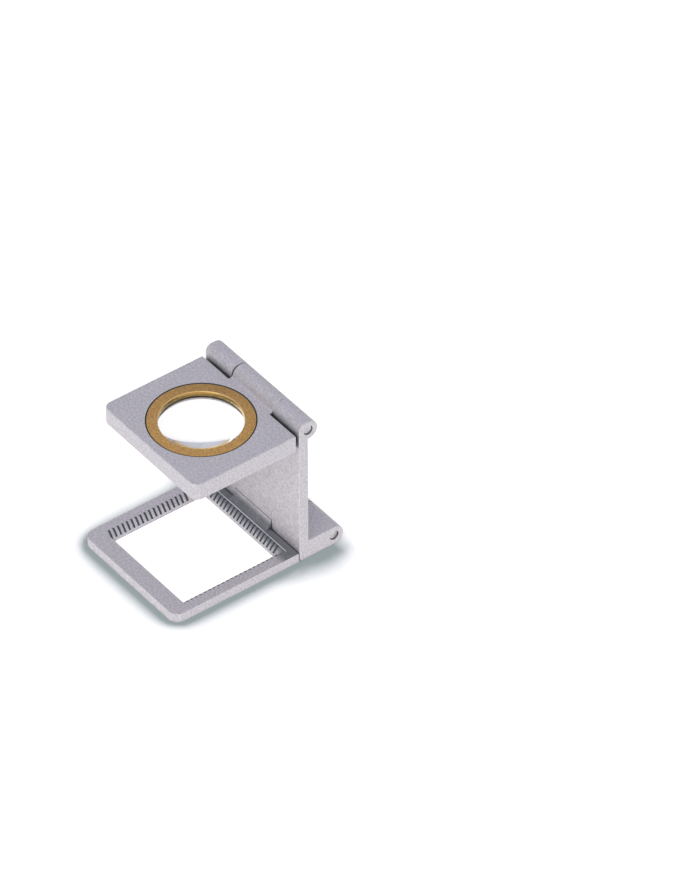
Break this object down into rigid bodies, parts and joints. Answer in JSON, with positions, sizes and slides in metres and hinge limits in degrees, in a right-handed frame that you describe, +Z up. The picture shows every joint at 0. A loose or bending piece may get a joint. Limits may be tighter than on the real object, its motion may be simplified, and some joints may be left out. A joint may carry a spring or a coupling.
{
  "type": "folding viewing loupe",
  "caption": "Folding pocket loupe: a graduated base frame, an upright and a lens plate with a brass-ringed lens, hinged to fold flat.",
  "frame": {"origin": "on the table under the middle of the open loupe's outline", "axes": "+X along both hinges to the right, +Y from the base plate's front edge to the foot hinge, +Z up from the table"},
  "size_m": [0.028, 0.0379, 0.0324],
  "materials": {
    "satin_alloy": "satin, fine-grained",
    "scale_paint": "matt black filling paint",
    "pin_steel": "turned, unpolished",
    "ring_brass": "turned, satin top, bright bore",
    "lens_glass": "polished, clear"
  },
  "bodies": {
    "upright": {"upright": "satin_alloy", "base_hinge_pin": "pin_steel", "top_hinge_pin": "pin_steel"},
    "base": {"base_plate": "satin_alloy", "scale_marks": "scale_paint"},
    "lens_leaf": {"lens_plate": "satin_alloy", "lens": "lens_glass", "retaining_ring": "ring_brass"}
  },
  "joints": [
    {"name": "base_fold", "type": "hinge", "parent": "upright", "child": "base", "pos_m": [0, 0.01695, 0.002], "axis": [1, 0, 0], "range_deg": [0, 270]},
    {"name": "lens_fold", "type": "hinge", "parent": "upright", "child": "lens_leaf", "pos_m": [0, 0.01115, 0.0304], "axis": [-1, 0, 0], "range_deg": [0, 270]}
  ]
}
